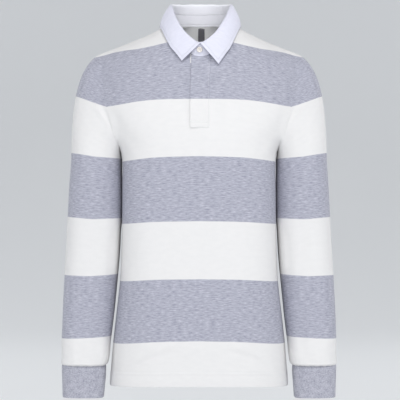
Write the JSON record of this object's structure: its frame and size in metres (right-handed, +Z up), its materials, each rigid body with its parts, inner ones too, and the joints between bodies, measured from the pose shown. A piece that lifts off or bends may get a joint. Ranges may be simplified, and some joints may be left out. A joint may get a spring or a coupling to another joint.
{
  "type": "long-sleeve polo shirt",
  "caption": "Long-sleeve jersey polo shirt with a folded collar, a short covered button placket, set-in sleeves and close cuffs, filled out as worn.",
  "frame": {"origin": "on the centre line, at the height and depth where the shoulder seams meet the neck of the wearer", "axes": "+Z up along the wearer's body, -Y out of the chest, +X towards the wearer's left sleeve"},
  "size_m": [0.5452, 0.2278, 0.7886],
  "materials": {
    "jersey": "matt cotton jersey, white and heather grey in wide stripes",
    "rib": "matt heather grey rib knit",
    "twill": "matt white woven cotton",
    "button": "cream, lightly polished",
    "label": "dark woven tape, bare"
  },
  "bodies": {
    "root": {"front": "jersey", "back": "jersey", "sleeve_left": "jersey", "sleeve_right": "jersey", "cuff_left": "rib", "cuff_right": "rib", "placket_flap": "jersey", "placket_underlap": "jersey", "collar_stand": "twill", "collar_leaf": "twill", "neck_label": "label", "collar_button": "button"}
  },
  "joints": []
}
